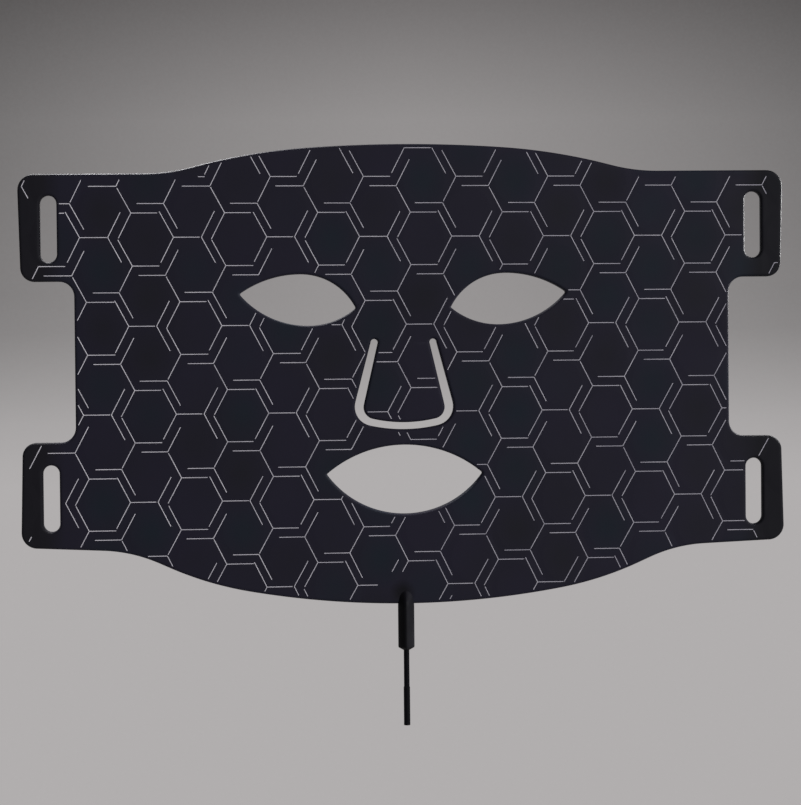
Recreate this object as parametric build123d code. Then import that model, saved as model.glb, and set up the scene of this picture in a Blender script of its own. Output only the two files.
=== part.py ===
from build123d import *
import math
import os

# Flexible LED face mask of black silicone, in millimetres.
# Frame: +X to the right of someone facing the mask, +Z up, the patterned front towards -Y.
# Origin: on the skin side, between the eyes, where the mask lies on the wearer's nose bridge.
#
# The mask is a sandwich. From the front: a moulded front skin with a wall round every edge, a
# flexible printed board with LEDs and resistors, clear lenses, and a back skin with a round hole
# for each lens. It is cut at its bend lines into a centre, two cheeks, two sides, four strap tabs
# and a nose flap.

# ---------------------------------------------------------------- driving dimensions
# depth of each layer: y of its skin-side and its front-side face
BACK_FACE_Y = 0.0
BACK_SKIN_THICKNESS = 1.6
MASK_THICKNESS = 6.0
FRONT_PLATE_THICKNESS = 1.8
EDGE_WALL = 2.5
BOARD_BACK_Y = -3.3
BOARD_THICKNESS = 0.3
BOARD_TO_WALL = 0.7

BACK_SKIN_FRONT_Y = BACK_FACE_Y - BACK_SKIN_THICKNESS
FRONT_Y = BACK_FACE_Y - MASK_THICKNESS
FRONT_PLATE_BACK_Y = FRONT_Y + FRONT_PLATE_THICKNESS
BOARD_FRONT_Y = BOARD_BACK_Y - BOARD_THICKNESS

# bend lines: upright ones at these distances from the middle, a level one for the nose flap
CHEEK_BEND_X = 49.0
SIDE_BEND_X = 100.0
TAB_BEND_X = 156.0
FLAP_BEND_Z = -19.5
BEND_GAP = 0.3
BOARD_TO_BEND = 1.2

# outline, right half: two arcs for the brow, two for the jaw, and the tabs between them
TOP_Z = 72.5
BROW_MIDDLE = (46.0, 70.9)
BROW_END = (97.0, 62.5)
BOTTOM_Z = -142.0
JAW_MIDDLE = (72.8, -135.5)
JAW_END = (110.3, -123.8)
JAW_CORNER = (127.3, -116.2)
TAB_EDGE_X = 178.5
UPPER_TAB_TOP_Z = 59.4
UPPER_TAB_BOTTOM_Z = 9.6
LOWER_TAB_TOP_Z = -65.1
LOWER_TAB_BOTTOM_Z = -113.9
TAB_TAPER = 1.2
BODY_SIDE_X = 152.7
BROW_ROUND = 86.0
JAW_ROUND = 70.0
TAB_TOP_ROUND = 7.3
TAB_LOW_ROUND = 6.5
TAB_ROOT_ROUND = 7.0
OUTLINE_REACH = 200.0

# eyes: each is an almond of four arcs, which meet level at its top and bottom
EYE_INNER = (22.2, -3.7)
EYE_TOP = (48.0, 12.3)
EYE_OUTER = (76.4, 3.2)
EYE_BOTTOM = (44.3, -11.8)
EYE_CORNER_ROUND = 0.8

# mouth: two arcs that meet in two corners
MOUTH_HALF_WIDTH = 36.5
MOUTH_CORNER_Z = -81.2
MOUTH_TOP_Z = -67.7
MOUTH_BOTTOM_Z = -100.1
MOUTH_CORNER_ROUND = 0.8

# nose slot: a U whose two arms lean outwards
SLOT_ARM_TOP_Z = -19.9
SLOT_ARM_WIDTH = 3.4
SLOT_ARM_TOP_X = 13.75
SLOT_OUTER_CORNER = (25.0, -56.0)
SLOT_INNER_CORNER = (20.0, -54.0)
SLOT_OUTER_BOTTOM_Z = -60.5
SLOT_INNER_BOTTOM_Z = -57.2
SLOT_OUTER_ROUND = 9.0
SLOT_INNER_ROUND = 5.5

# strap slots
STRAP_SLOT_WIDTH = 7.75
STRAP_SLOT_LENGTH = 31.0
STRAP_SLOT_X = 164.3
UPPER_STRAP_SLOT_Z = 34.0
LOWER_STRAP_SLOT_Z = -91.1

# LEDs, lenses and resistors
LED_SIZE = (2.8, 0.8, 3.5)
LED_ROW_PITCH = 18.0
LED_TOP_ROW_Z = 60.0
CENTRE_COLUMNS = (-39.0, -26.0, -13.0, 0.0, 13.0, 26.0, 39.0)
CHEEK_COLUMNS = (58.5, 74.5, 90.5)
SIDE_COLUMNS = (109.5, 125.0, 140.5)
FLAP_LEDS = ((0.0, -31.0), (-8.5, -44.0), (8.5, -44.0))
LENS_RADIUS = 3.3
LENS_FLANGE_RADIUS = 4.5
LENS_FLANGE_THICKNESS = 0.5
LENS_DOME_HEIGHT = 0.8
LENS_HOLE_RADIUS = 3.4
LENS_TO_WALL = 0.7
RESISTOR_SIZE = (2.0, 0.55, 1.25)
RESISTOR_TO_WALL = 2.2
LEDS_PER_RESISTOR = 3

# lead: boot, anchor, conductors, jacket and connector
BOOT_RADIUS = 3.8
BOOT_TOP_Z = -134.8
BOOT_END_Z = -163.7
BOOT_CONE_HEIGHT = 1.3
BOOT_CONE_END_RADIUS = 1.5
LEAD_BAY_HALF_WIDTH = 11.0
LEAD_BAY_TOP_Z = -128.0
SOLDER_BAY_HALF_WIDTH = 8.0
SOLDER_BAY_TOP_Z = -117.0
ANCHOR_HALF_WIDTH = 10.0
ANCHOR_TOP_Z = -129.5
ANCHOR_BOTTOM_Z = -138.8
ANCHOR_THICKNESS = 1.2
CONDUCTOR_RADIUS = 0.5
CONDUCTOR_X = 1.4
CONDUCTOR_TOP_Z = -122.0
PAD_SIZE = (2.2, 0.5, 4.0)
LEAD_RADIUS = 1.3
LEAD_END_Z = -194.2
CONNECTOR_RADIUS = 1.48
CONNECTOR_TOP_Z = -181.0
CONNECTOR_END_Z = -199.0
CONNECTOR_ROUND = 0.15
SOCKET_RADIUS = 0.95
CONTACT_WALL = 0.2
CENTRE_PIN_RADIUS = 0.3
CONTACT_RECESS = 0.6
INSULATOR_THICKNESS = 0.8

BOOT_Y = BACK_SKIN_FRONT_Y - BOOT_RADIUS
CONDUCTOR_Y = BOARD_BACK_Y + PAD_SIZE[1] + CONDUCTOR_RADIUS


# ---------------------------------------------------------------- shared helpers
def sheet(region, front_y, back_y):
    """A flat region, drawn as (x, z), given thickness from front_y to back_y."""
    return extrude(Plane.XZ.offset(-back_y) * region, amount=back_y - front_y)


def band(low_x, high_x):
    """The upright strip of the drawing between two distances from the middle."""
    middle = (low_x + high_x) / 2
    return Pos(middle, 0) * Rectangle(high_x - low_x, 2 * OUTLINE_REACH)


def round_points(region, radius):
    """Give a pointed region round points, by drawing its edge in and back out again."""
    return offset(offset(region, amount=-radius), amount=radius)


def write(node, *solids):
    """Write one node, which is one solid or a group of like solids."""
    shape = solids[0] if len(solids) == 1 else Compound(children=list(solids))
    export_step(shape, f"parts/{node}.step")


# ---------------------------------------------------------------- outlines, drawn as (x, z)
def draw_outline():
    upper_edge = TAB_EDGE_X - TAB_TAPER
    with BuildSketch() as drawing:
        with BuildLine():
            brow = TangentArc((0, TOP_Z), BROW_MIDDLE, tangent=(1, 0))
            temple = TangentArc(BROW_MIDDLE, BROW_END, tangent=brow % 1)
            chin = TangentArc((0, BOTTOM_Z), JAW_MIDDLE, tangent=(1, 0))
            TangentArc(JAW_MIDDLE, JAW_END, tangent=chin % 1)
            fall = (temple % 1).Y / (temple % 1).X
            brow_corner_x = BROW_END[0] + (UPPER_TAB_TOP_Z - BROW_END[1]) / fall
            FilletPolyline(
                BROW_END,
                (brow_corner_x, UPPER_TAB_TOP_Z),
                (TAB_EDGE_X, UPPER_TAB_TOP_Z),
                (upper_edge, UPPER_TAB_BOTTOM_Z),
                (BODY_SIDE_X, UPPER_TAB_BOTTOM_Z),
                (BODY_SIDE_X, LOWER_TAB_TOP_Z),
                (upper_edge, LOWER_TAB_TOP_Z),
                (TAB_EDGE_X, LOWER_TAB_BOTTOM_Z),
                JAW_CORNER,
                JAW_END,
                radius=[
                    BROW_ROUND,
                    TAB_TOP_ROUND,
                    TAB_LOW_ROUND,
                    TAB_ROOT_ROUND,
                    TAB_ROOT_ROUND,
                    TAB_LOW_ROUND,
                    TAB_TOP_ROUND,
                    JAW_ROUND,
                ],
            )
            mirror(about=Plane.YZ)
        make_face()
    return drawing.sketch


def draw_eye(side):
    """The eye opening to the left (side -1) or to the right (side 1)."""
    with BuildSketch() as drawing:
        with BuildLine():
            for middle in (EYE_TOP, EYE_BOTTOM):
                start = (side * middle[0], middle[1])
                TangentArc(start, (side * EYE_OUTER[0], EYE_OUTER[1]), tangent=(side, 0))
                TangentArc(start, (side * EYE_INNER[0], EYE_INNER[1]), tangent=(-side, 0))
        make_face()
    return round_points(drawing.sketch, EYE_CORNER_ROUND)


def draw_mouth():
    left = (-MOUTH_HALF_WIDTH, MOUTH_CORNER_Z)
    right = (MOUTH_HALF_WIDTH, MOUTH_CORNER_Z)
    with BuildSketch() as drawing:
        with BuildLine():
            ThreePointArc(left, (0, MOUTH_TOP_Z), right)
            ThreePointArc(right, (0, MOUTH_BOTTOM_Z), left)
        make_face()
    return round_points(drawing.sketch, MOUTH_CORNER_ROUND)


def draw_nose_tongue(top_x, top_z, corner, bottom_z, corner_round):
    """The area inside one edge of the nose slot, from its level top to its bowed bottom."""
    mirrored = (-corner[0], corner[1])
    with BuildSketch() as drawing:
        with BuildLine():
            Line((-top_x, top_z), (top_x, top_z))
            Line((top_x, top_z), corner)
            ThreePointArc(corner, (0, bottom_z), mirrored)
            Line(mirrored, (-top_x, top_z))
        make_face()
        low_corners = drawing.vertices().sort_by(Axis.Y)[:2]
        fillet(low_corners, corner_round)
    return drawing.sketch


def draw_nose_slot():
    half_width = SLOT_ARM_WIDTH / 2
    outside = draw_nose_tongue(
        SLOT_ARM_TOP_X + half_width,
        SLOT_ARM_TOP_Z,
        SLOT_OUTER_CORNER,
        SLOT_OUTER_BOTTOM_Z,
        SLOT_OUTER_ROUND,
    )
    slot = outside - draw_flap(SLOT_ARM_TOP_Z)
    for side in (-1, 1):
        slot += Pos(side * SLOT_ARM_TOP_X, SLOT_ARM_TOP_Z) * Circle(half_width)
    return slot


def draw_flap(top_z):
    """The nose flap, cut off level at its top."""
    return draw_nose_tongue(
        SLOT_ARM_TOP_X - SLOT_ARM_WIDTH / 2,
        top_z,
        SLOT_INNER_CORNER,
        SLOT_INNER_BOTTOM_Z,
        SLOT_INNER_ROUND,
    )


def draw_strap_slots():
    slot = Rot(0, 0, 90) * SlotOverall(STRAP_SLOT_LENGTH, STRAP_SLOT_WIDTH)
    heights = (UPPER_STRAP_SLOT_Z, LOWER_STRAP_SLOT_Z)
    return [Pos(side * STRAP_SLOT_X, height) * slot for side in (-1, 1) for height in heights]


OUTLINE = draw_outline()
OPENINGS = [draw_eye(-1), draw_eye(1), draw_mouth(), draw_nose_slot()]
FLAP = draw_flap(FLAP_BEND_Z - BEND_GAP / 2)
MASK = OUTLINE - OPENINGS - draw_strap_slots()


def inside_of_edges(distance):
    """The part of the mask that is at least this far from its rim and from every opening."""
    region = offset(OUTLINE, amount=-distance)
    return region - [offset(opening, amount=distance) for opening in OPENINGS]


CAVITY = inside_of_edges(EDGE_WALL)
BOARD_AREA = inside_of_edges(EDGE_WALL + BOARD_TO_WALL)
FLAP_ZONE = draw_flap(FLAP_BEND_Z + BEND_GAP / 2)


# ---------------------------------------------------------------- small electronic pieces
def led_at(x, z):
    width, depth, height = LED_SIZE
    return Pos(x, BOARD_BACK_Y + depth / 2, z) * Box(width, depth, height)


def resistor_at(x, z):
    width, depth, height = RESISTOR_SIZE
    return Pos(x, BOARD_BACK_Y + depth / 2, z) * Box(width, depth, height)


def lens_at(x, z):
    """A clear window: a flange behind the back skin, a barrel in its hole and a low dome."""
    flange_y = BACK_SKIN_FRONT_Y - LENS_FLANGE_THICKNESS
    rim = (LENS_RADIUS, BACK_FACE_Y)
    crown = (0, BACK_FACE_Y + LENS_DOME_HEIGHT)
    with BuildPart() as lens:
        with BuildSketch():
            with BuildLine():
                Polyline(
                    crown,
                    (0, flange_y),
                    (LENS_FLANGE_RADIUS, flange_y),
                    (LENS_FLANGE_RADIUS, BACK_SKIN_FRONT_Y),
                    (LENS_RADIUS, BACK_SKIN_FRONT_Y),
                    rim,
                )
                TangentArc(crown, rim, tangent=(1, 0))
            make_face()
        revolve(axis=Axis.Y)
    return Pos(x, 0, z) * lens.part


def clear_spots(columns, region, clearance, first_z):
    """Grid places in the region whose distance from its edge is at least the clearance.

    Neighbouring columns are shifted by half a row, so that the places form a staggered grid.
    """
    spots = []
    edges = region.edges()
    for number, x in enumerate(columns):
        z = first_z - (number % 2) * LED_ROW_PITCH / 2
        while z > BOTTOM_Z:
            place = Vector(x, z, 0)
            inside = any(face.is_inside(place) for face in region.faces())
            if inside and min(edge.distance_to(place) for edge in edges) >= clearance:
                spots.append((x, z))
            z -= LED_ROW_PITCH
    return spots


# ---------------------------------------------------------------- panels
def chin_bay(half_width, top_z):
    """The area at the chin, up to a level, that is kept free round the lead's inner end."""
    return Pos(0, BOTTOM_Z) * Rectangle(2 * half_width, 2 * (top_z - BOTTOM_Z))


def make_panel(name, low_x, high_x, columns):
    """Write the six nodes of one panel of the mask."""
    strip = band(low_x + BEND_GAP / 2, high_x - BEND_GAP / 2)
    board_strip = band(low_x + BOARD_TO_BEND, high_x - BOARD_TO_BEND)
    skin = MASK & strip
    hollow = CAVITY & strip
    board_area = BOARD_AREA & board_strip
    lens_area = board_area
    if name == "centre":
        skin -= FLAP_ZONE
        hollow -= FLAP_ZONE
        board_area -= FLAP_ZONE
        board_area -= chin_bay(LEAD_BAY_HALF_WIDTH, LEAD_BAY_TOP_Z)
        lens_area = board_area - chin_bay(SOLDER_BAY_HALF_WIDTH, SOLDER_BAY_TOP_Z)

    lens_clearance = LENS_FLANGE_RADIUS + LENS_TO_WALL - BOARD_TO_WALL
    spots = clear_spots(columns, lens_area, lens_clearance, LED_TOP_ROW_Z)
    between_rows_z = LED_TOP_ROW_Z + LED_ROW_PITCH / 2
    resistor_spots = clear_spots(columns, lens_area, RESISTOR_TO_WALL, between_rows_z)[::LEDS_PER_RESISTOR]

    front = sheet(skin, FRONT_Y, BACK_SKIN_FRONT_Y) - sheet(hollow, FRONT_PLATE_BACK_Y, BACK_SKIN_FRONT_Y)
    if name == "centre":
        front -= make_boot()
        front -= make_boot_channel()
    write(f"front_skin_{name}", front)

    back = sheet(skin, BACK_SKIN_FRONT_Y, BACK_FACE_Y)
    holes = Sketch()
    for x, z in spots:
        holes += Pos(x, z) * Circle(LENS_HOLE_RADIUS)
    back -= sheet(holes, BACK_SKIN_FRONT_Y, BACK_FACE_Y)
    write(f"back_skin_{name}", back)

    write(f"flex_board_{name}", sheet(board_area, BOARD_FRONT_Y, BOARD_BACK_Y))
    write(f"leds_{name}", *[led_at(x, z) for x, z in spots])
    write(f"resistors_{name}", *[resistor_at(x, z) for x, z in resistor_spots])
    write(f"lenses_{name}", *[lens_at(x, z) for x, z in spots])


def make_tab(name, side, low_z, high_z):
    """A strap tab, as deep as the front skin, from its bend line to its outer edge."""
    low_x, high_x = sorted((side * (TAB_BEND_X + BEND_GAP / 2), side * OUTLINE_REACH))
    rows = Pos(0, (low_z + high_z) / 2) * Rectangle(2 * OUTLINE_REACH, high_z - low_z)
    zone = band(low_x, high_x) & rows
    write(f"strap_tab_{name}", sheet(MASK & zone, FRONT_Y, BACK_SKIN_FRONT_Y))


def make_nose_flap():
    below_bend_z = FLAP_BEND_Z - BOARD_TO_BEND
    below_bend = Pos(0, below_bend_z - OUTLINE_REACH) * Rectangle(OUTLINE_REACH, 2 * OUTLINE_REACH)
    board_area = BOARD_AREA & FLAP & below_bend
    hollow = CAVITY & FLAP
    front = sheet(FLAP, FRONT_Y, BACK_SKIN_FRONT_Y) - sheet(hollow, FRONT_PLATE_BACK_Y, BACK_SKIN_FRONT_Y)
    write("nose_flap_front_skin", front)
    holes = Sketch()
    for x, z in FLAP_LEDS:
        holes += Pos(x, z) * Circle(LENS_HOLE_RADIUS)
    write("nose_flap_back_skin", sheet(FLAP - holes, BACK_SKIN_FRONT_Y, BACK_FACE_Y))
    write("nose_flap_board", sheet(board_area, BOARD_FRONT_Y, BOARD_BACK_Y))
    write("nose_flap_leds", *[led_at(x, z) for x, z in FLAP_LEDS])
    write("nose_flap_lenses", *[lens_at(x, z) for x, z in FLAP_LEDS])


# ---------------------------------------------------------------- lead
def upright_rod(radius, low_z, high_z, x=0.0, y=BOOT_Y):
    return Pos(x, y, (low_z + high_z) / 2) * Cylinder(radius, high_z - low_z)


def make_boot():
    """Moulded strain relief: round at its upper end, a blunt cone where the lead leaves it."""
    cone_top_z = BOOT_END_Z + BOOT_CONE_HEIGHT
    cone_place = Pos(0, BOOT_Y, (BOOT_END_Z + cone_top_z) / 2)
    boot = upright_rod(BOOT_RADIUS, cone_top_z, BOOT_TOP_Z - BOOT_RADIUS)
    boot += cone_place * Cone(BOOT_CONE_END_RADIUS, BOOT_RADIUS, BOOT_CONE_HEIGHT)
    return boot + Pos(0, BOOT_Y, BOOT_TOP_Z - BOOT_RADIUS) * Sphere(BOOT_RADIUS)


def make_boot_channel():
    """The room behind the boot's axis, straight-sided, that lets the boot into the front skin."""
    low_z = BOTTOM_Z - BOOT_RADIUS
    top_z = BOOT_TOP_Z - BOOT_RADIUS
    plan = Pos(0, (low_z + top_z) / 2) * Rectangle(2 * BOOT_RADIUS, top_z - low_z)
    plan += Pos(0, top_z) * Circle(BOOT_RADIUS)
    return sheet(plan, BOOT_Y, BACK_SKIN_FRONT_Y)


def make_lead():
    boot = make_boot()
    write("cable_boot", boot)

    anchor_middle_z = (ANCHOR_TOP_Z + ANCHOR_BOTTOM_Z) / 2
    anchor_plan = Pos(0, anchor_middle_z) * RectangleRounded(
        2 * ANCHOR_HALF_WIDTH, ANCHOR_TOP_Z - ANCHOR_BOTTOM_Z, 2.0
    )
    anchor = sheet(anchor_plan, FRONT_PLATE_BACK_Y, FRONT_PLATE_BACK_Y + ANCHOR_THICKNESS)
    write("boot_anchor", anchor - boot)

    for colour, x in (("red", -CONDUCTOR_X), ("black", CONDUCTOR_X)):
        wire = upright_rod(CONDUCTOR_RADIUS, BOOT_TOP_Z - BOOT_RADIUS, CONDUCTOR_TOP_Z, x, CONDUCTOR_Y)
        write(f"conductor_{colour}", wire - boot)

    pads = []
    for x in (-CONDUCTOR_X, CONDUCTOR_X):
        pad_place = Pos(x, BOARD_BACK_Y + PAD_SIZE[1] / 2, CONDUCTOR_TOP_Z - PAD_SIZE[2] / 2)
        pads.append(pad_place * Box(*PAD_SIZE))
    write("lead_solder_pads", *pads)

    lead = upright_rod(LEAD_RADIUS, LEAD_END_Z, BOOT_END_Z)
    write("lead_jacket", lead)
    lead_length = BOOT_END_Z - LEAD_END_Z
    print(f"lead: one straight run of {lead_length:.1f} mm,")
    print(f"  volume {lead.volume:.2f} mm3, section times length {math.pi * LEAD_RADIUS**2 * lead_length:.2f} mm3")

    sleeve = upright_rod(CONNECTOR_RADIUS, CONNECTOR_END_Z, CONNECTOR_TOP_Z)
    sleeve = fillet(sleeve.edges().filter_by(GeomType.CIRCLE), CONNECTOR_ROUND)
    sleeve -= lead
    sleeve -= upright_rod(SOCKET_RADIUS, CONNECTOR_END_Z, LEAD_END_Z)
    write("lead_connector", sleeve)

    insulator_low_z = LEAD_END_Z - INSULATOR_THICKNESS
    write("connector_insulator", upright_rod(SOCKET_RADIUS, insulator_low_z, LEAD_END_Z))
    contact_end_z = CONNECTOR_END_Z + CONTACT_RECESS
    ring = upright_rod(SOCKET_RADIUS, contact_end_z, insulator_low_z)
    ring -= upright_rod(SOCKET_RADIUS - CONTACT_WALL, contact_end_z, insulator_low_z)
    pin = upright_rod(CENTRE_PIN_RADIUS, contact_end_z, insulator_low_z)
    write("connector_contacts", ring, pin)


# ---------------------------------------------------------------- the whole mask
os.makedirs("parts", exist_ok=True)
make_panel("centre", -CHEEK_BEND_X, CHEEK_BEND_X, CENTRE_COLUMNS)
for side, word in ((-1, "left"), (1, "right")):
    cheek = sorted((side * CHEEK_BEND_X, side * SIDE_BEND_X))
    flank = sorted((side * SIDE_BEND_X, side * TAB_BEND_X))
    make_panel(f"{word}_cheek", *cheek, tuple(side * x for x in CHEEK_COLUMNS))
    make_panel(f"{word}_side", *flank, tuple(side * x for x in SIDE_COLUMNS))
    make_tab(f"upper_{word}", side, UPPER_TAB_BOTTOM_Z - TAB_ROOT_ROUND, OUTLINE_REACH)
    make_tab(f"lower_{word}", side, -OUTLINE_REACH, LOWER_TAB_TOP_Z + TAB_ROOT_ROUND)
make_nose_flap()
make_lead()
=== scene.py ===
import math
import random

import bmesh
import bpy
import numpy as np
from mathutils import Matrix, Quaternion, Vector
from mathutils.geometry import delaunay_2d_cdt
from mathutils.kdtree import KDTree


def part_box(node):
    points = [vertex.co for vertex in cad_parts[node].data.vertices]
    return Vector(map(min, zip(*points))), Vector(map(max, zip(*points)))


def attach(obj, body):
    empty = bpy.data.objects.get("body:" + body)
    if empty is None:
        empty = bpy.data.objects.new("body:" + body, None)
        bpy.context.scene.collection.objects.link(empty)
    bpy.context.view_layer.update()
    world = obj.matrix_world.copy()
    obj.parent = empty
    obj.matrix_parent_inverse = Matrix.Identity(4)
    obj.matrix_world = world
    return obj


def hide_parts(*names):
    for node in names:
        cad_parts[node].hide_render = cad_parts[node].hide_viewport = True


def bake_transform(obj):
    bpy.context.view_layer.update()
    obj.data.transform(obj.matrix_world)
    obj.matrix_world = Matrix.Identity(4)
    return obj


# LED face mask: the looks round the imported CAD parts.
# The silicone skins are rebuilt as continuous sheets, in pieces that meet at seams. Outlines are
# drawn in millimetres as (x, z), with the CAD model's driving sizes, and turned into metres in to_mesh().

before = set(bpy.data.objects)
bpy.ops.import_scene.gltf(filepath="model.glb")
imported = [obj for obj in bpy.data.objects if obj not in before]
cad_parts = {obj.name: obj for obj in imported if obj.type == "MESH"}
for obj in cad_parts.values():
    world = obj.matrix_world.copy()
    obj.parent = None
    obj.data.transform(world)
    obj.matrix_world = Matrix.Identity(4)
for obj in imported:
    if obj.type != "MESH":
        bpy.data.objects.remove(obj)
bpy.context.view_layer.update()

MM = 0.001

# ---- sizes shared with the CAD model
TOP_Z = 72.5
BROW_MIDDLE = (46.0, 70.9)
BROW_END = (97.0, 62.5)
BOTTOM_Z = -142.0
JAW_MIDDLE = (72.8, -135.5)
JAW_END = (110.3, -123.8)
JAW_CORNER = (127.3, -116.2)
TAB_EDGE_X = 178.5
UPPER_TAB_TOP_Z = 59.4
UPPER_TAB_BOTTOM_Z = 9.6
LOWER_TAB_TOP_Z = -65.1
LOWER_TAB_BOTTOM_Z = -113.9
TAB_TAPER = 1.2
BODY_SIDE_X = 152.7
BROW_ROUND = 86.0
JAW_ROUND = 70.0
TAB_TOP_ROUND = 7.3
TAB_LOW_ROUND = 6.5
TAB_ROOT_ROUND = 7.0

EYE_INNER = (22.2, -3.7)
EYE_TOP = (48.0, 12.3)
EYE_OUTER = (76.4, 3.2)
EYE_BOTTOM = (44.3, -11.8)
MOUTH_HALF_WIDTH = 36.5
MOUTH_CORNER_Z = -81.2
MOUTH_TOP_Z = -67.7
MOUTH_BOTTOM_Z = -100.1
POINT_ROUND = 0.8

SLOT_ARM_TOP_Z = -19.9
SLOT_ARM_WIDTH = 3.4
SLOT_ARM_TOP_X = 13.75
SLOT_OUTER_CORNER = (25.0, -56.0)
SLOT_INNER_CORNER = (20.0, -54.0)
SLOT_OUTER_BOTTOM_Z = -60.5
SLOT_INNER_BOTTOM_Z = -57.2
SLOT_OUTER_ROUND = 9.0
SLOT_INNER_ROUND = 5.5

STRAP_SLOT_WIDTH = 7.75
STRAP_SLOT_LENGTH = 31.0
STRAP_SLOT_X = 164.3
STRAP_SLOT_HEIGHTS = (34.0, -91.1)

FRONT_Y = -6.0
PLATE_BACK_Y = -4.2
GLUE_Y = -1.6
BACK_Y = 0.0
EDGE_WALL = 2.5
LENS_HOLE_RADIUS = 3.4

BOOT_RADIUS = 3.8
BOOT_Y = -5.4
BOOT_TOP_Z = -134.8
BOOT_END_Z = -163.7
BOOT_CONE_HEIGHT = 1.3
BOOT_CONE_END_RADIUS = 1.5
LEAD_RADIUS = 1.3
LEAD_END_Z = -194.2

# ---- where the skins bend
# Each piece of skin starts at its inner seam.
CHEEK_SEAM_X = 44.0
SIDE_SEAM_X = 95.0
TAB_SEAM_X = 155.85
CHEEK_BEND = (44.5, 53.5)
SIDE_BEND = (95.5, 104.5)
TAB_BEND = (156.0, 161.5)
FLAP_BEND = (-19.9, -26.5)
TAB_MIDDLE_Z = -28.0


def put_in_scene(name, data):
    """A new object that shows this mesh, curve, camera or light."""
    made = bpy.data.objects.new(name, data)
    bpy.context.scene.collection.objects.link(made)
    return made


# ---- camera and lead
CAMERA_AIM = (-1.53, 0.0, -48.07)
CAMERA_DISTANCE = 1.0
CAMERA_YAW = math.radians(2.281)
CAMERA_PITCH = math.radians(-1.187)
CAMERA_ROLL = math.radians(-0.526)
CAMERA_LENS = 95.77
CAMERA_SENSOR = 36.0
LEAD_MIDDLE_HEIGHTS = (-173.9, -184.0)


def make_camera():
    """A long lens, a metre in front of the mask and nearly square on to it."""
    level = math.cos(CAMERA_PITCH)
    ahead = Vector((math.sin(CAMERA_YAW) * level, math.cos(CAMERA_YAW) * level, math.sin(CAMERA_PITCH)))
    data = bpy.data.cameras.new("camera")
    data.sensor_fit = "HORIZONTAL"
    data.sensor_width = CAMERA_SENSOR
    data.lens = CAMERA_LENS
    camera = put_in_scene("camera", data)
    camera.location = Vector(CAMERA_AIM) * MM - ahead * CAMERA_DISTANCE
    camera.rotation_mode = "QUATERNION"
    camera.rotation_quaternion = ahead.to_track_quat("-Z", "Y") @ Quaternion((0, 0, 1), CAMERA_ROLL)
    bpy.context.scene.camera = camera


def make_lead(material):
    """The jacket of the lead: it hangs straight down from the boot to its connector."""
    route = [(0.0, BOOT_Y, z) for z in (BOOT_END_Z, *LEAD_MIDDLE_HEIGHTS, LEAD_END_Z)]
    curve = bpy.data.curves.new("lead", "CURVE")
    curve.dimensions = "3D"
    curve.bevel_depth = LEAD_RADIUS * MM
    curve.bevel_resolution = 8
    curve.use_fill_caps = True
    spline = curve.splines.new("NURBS")
    spline.points.add(len(route) - 1)
    for point, place in zip(spline.points, route):
        point.co = (*(Vector(place) * MM), 1.0)
    spline.order_u = 3
    spline.use_endpoint_u = True
    spline.resolution_u = 8
    lead = put_in_scene("lead_cord", curve)
    curve.materials.append(material)
    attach(lead, "mask_centre")
    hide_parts("lead_jacket")
    return lead


# ---- drawing outlines as runs of points
DRAWING_STEP = 0.1
LONGEST_EDGE = 1.7
SHARPEST_TURN = math.radians(9)


def cross(a, b):
    return a[0] * b[1] - a[1] * b[0]


def line(start, end):
    start, end = np.array(start, float), np.array(end, float)
    count = max(3, int(np.linalg.norm(end - start) / DRAWING_STEP))
    return start + (end - start) * np.linspace(0, 1, count)[:, None]


def arc(start, heading, end):
    """The arc that leaves start along heading and reaches end."""
    start, heading, end = (np.array(p, float) for p in (start, heading, end))
    chord = end - start
    half_turn = math.atan2(cross(heading, chord), heading @ chord)
    chord_length = np.linalg.norm(chord)
    length = chord_length * half_turn / math.sin(half_turn)
    shares = np.linspace(0, 1, max(3, int(length / DRAWING_STEP)))
    reach = chord_length * np.sin(shares * half_turn) / math.sin(half_turn)
    angles = math.atan2(heading[1], heading[0]) + shares * half_turn
    return start + reach[:, None] * np.column_stack([np.cos(angles), np.sin(angles)])


def bowed_arc(start, end, bow):
    """The arc from start to end that bows to the left by this much, or to the right if it is negative."""
    start, end = np.array(start, float), np.array(end, float)
    chord = end - start
    half_turn = -2 * math.atan(2 * bow / np.linalg.norm(chord))
    angle = math.atan2(chord[1], chord[0]) - half_turn
    return arc(start, (math.cos(angle), math.sin(angle)), end)


def left_of(points):
    """Unit vectors to the left of an open run of points."""
    along = np.gradient(points, axis=0)
    along /= np.linalg.norm(along, axis=1)[:, None]
    return np.column_stack([-along[:, 1], along[:, 0]])


def round_corner(arriving, leaving, radius):
    """Both runs cut back to where an arc of this radius touches them, and that arc."""
    turn = cross(arriving[-1] - arriving[-2], leaving[1] - leaving[0])
    reach = math.copysign(radius, turn)
    before = arriving + reach * left_of(arriving)
    after = leaving + reach * left_of(leaving)
    gaps = np.linalg.norm(before[:, None] - after[None], axis=2)
    i, j = np.unravel_index(gaps.argmin(), gaps.shape)
    centre = (before[i] + after[j]) / 2
    first, last = (math.atan2(*(p - centre)[::-1]) for p in (arriving[i], leaving[j]))
    sweep = (last - first) % math.tau
    if turn < 0:
        sweep -= math.tau
    count = max(3, int(abs(sweep) * radius / DRAWING_STEP))
    angles = first + sweep * np.linspace(0, 1, count)
    bend = centre + radius * np.column_stack([np.cos(angles), np.sin(angles)])
    return arriving[:i], bend, leaving[j + 1 :]


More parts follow.
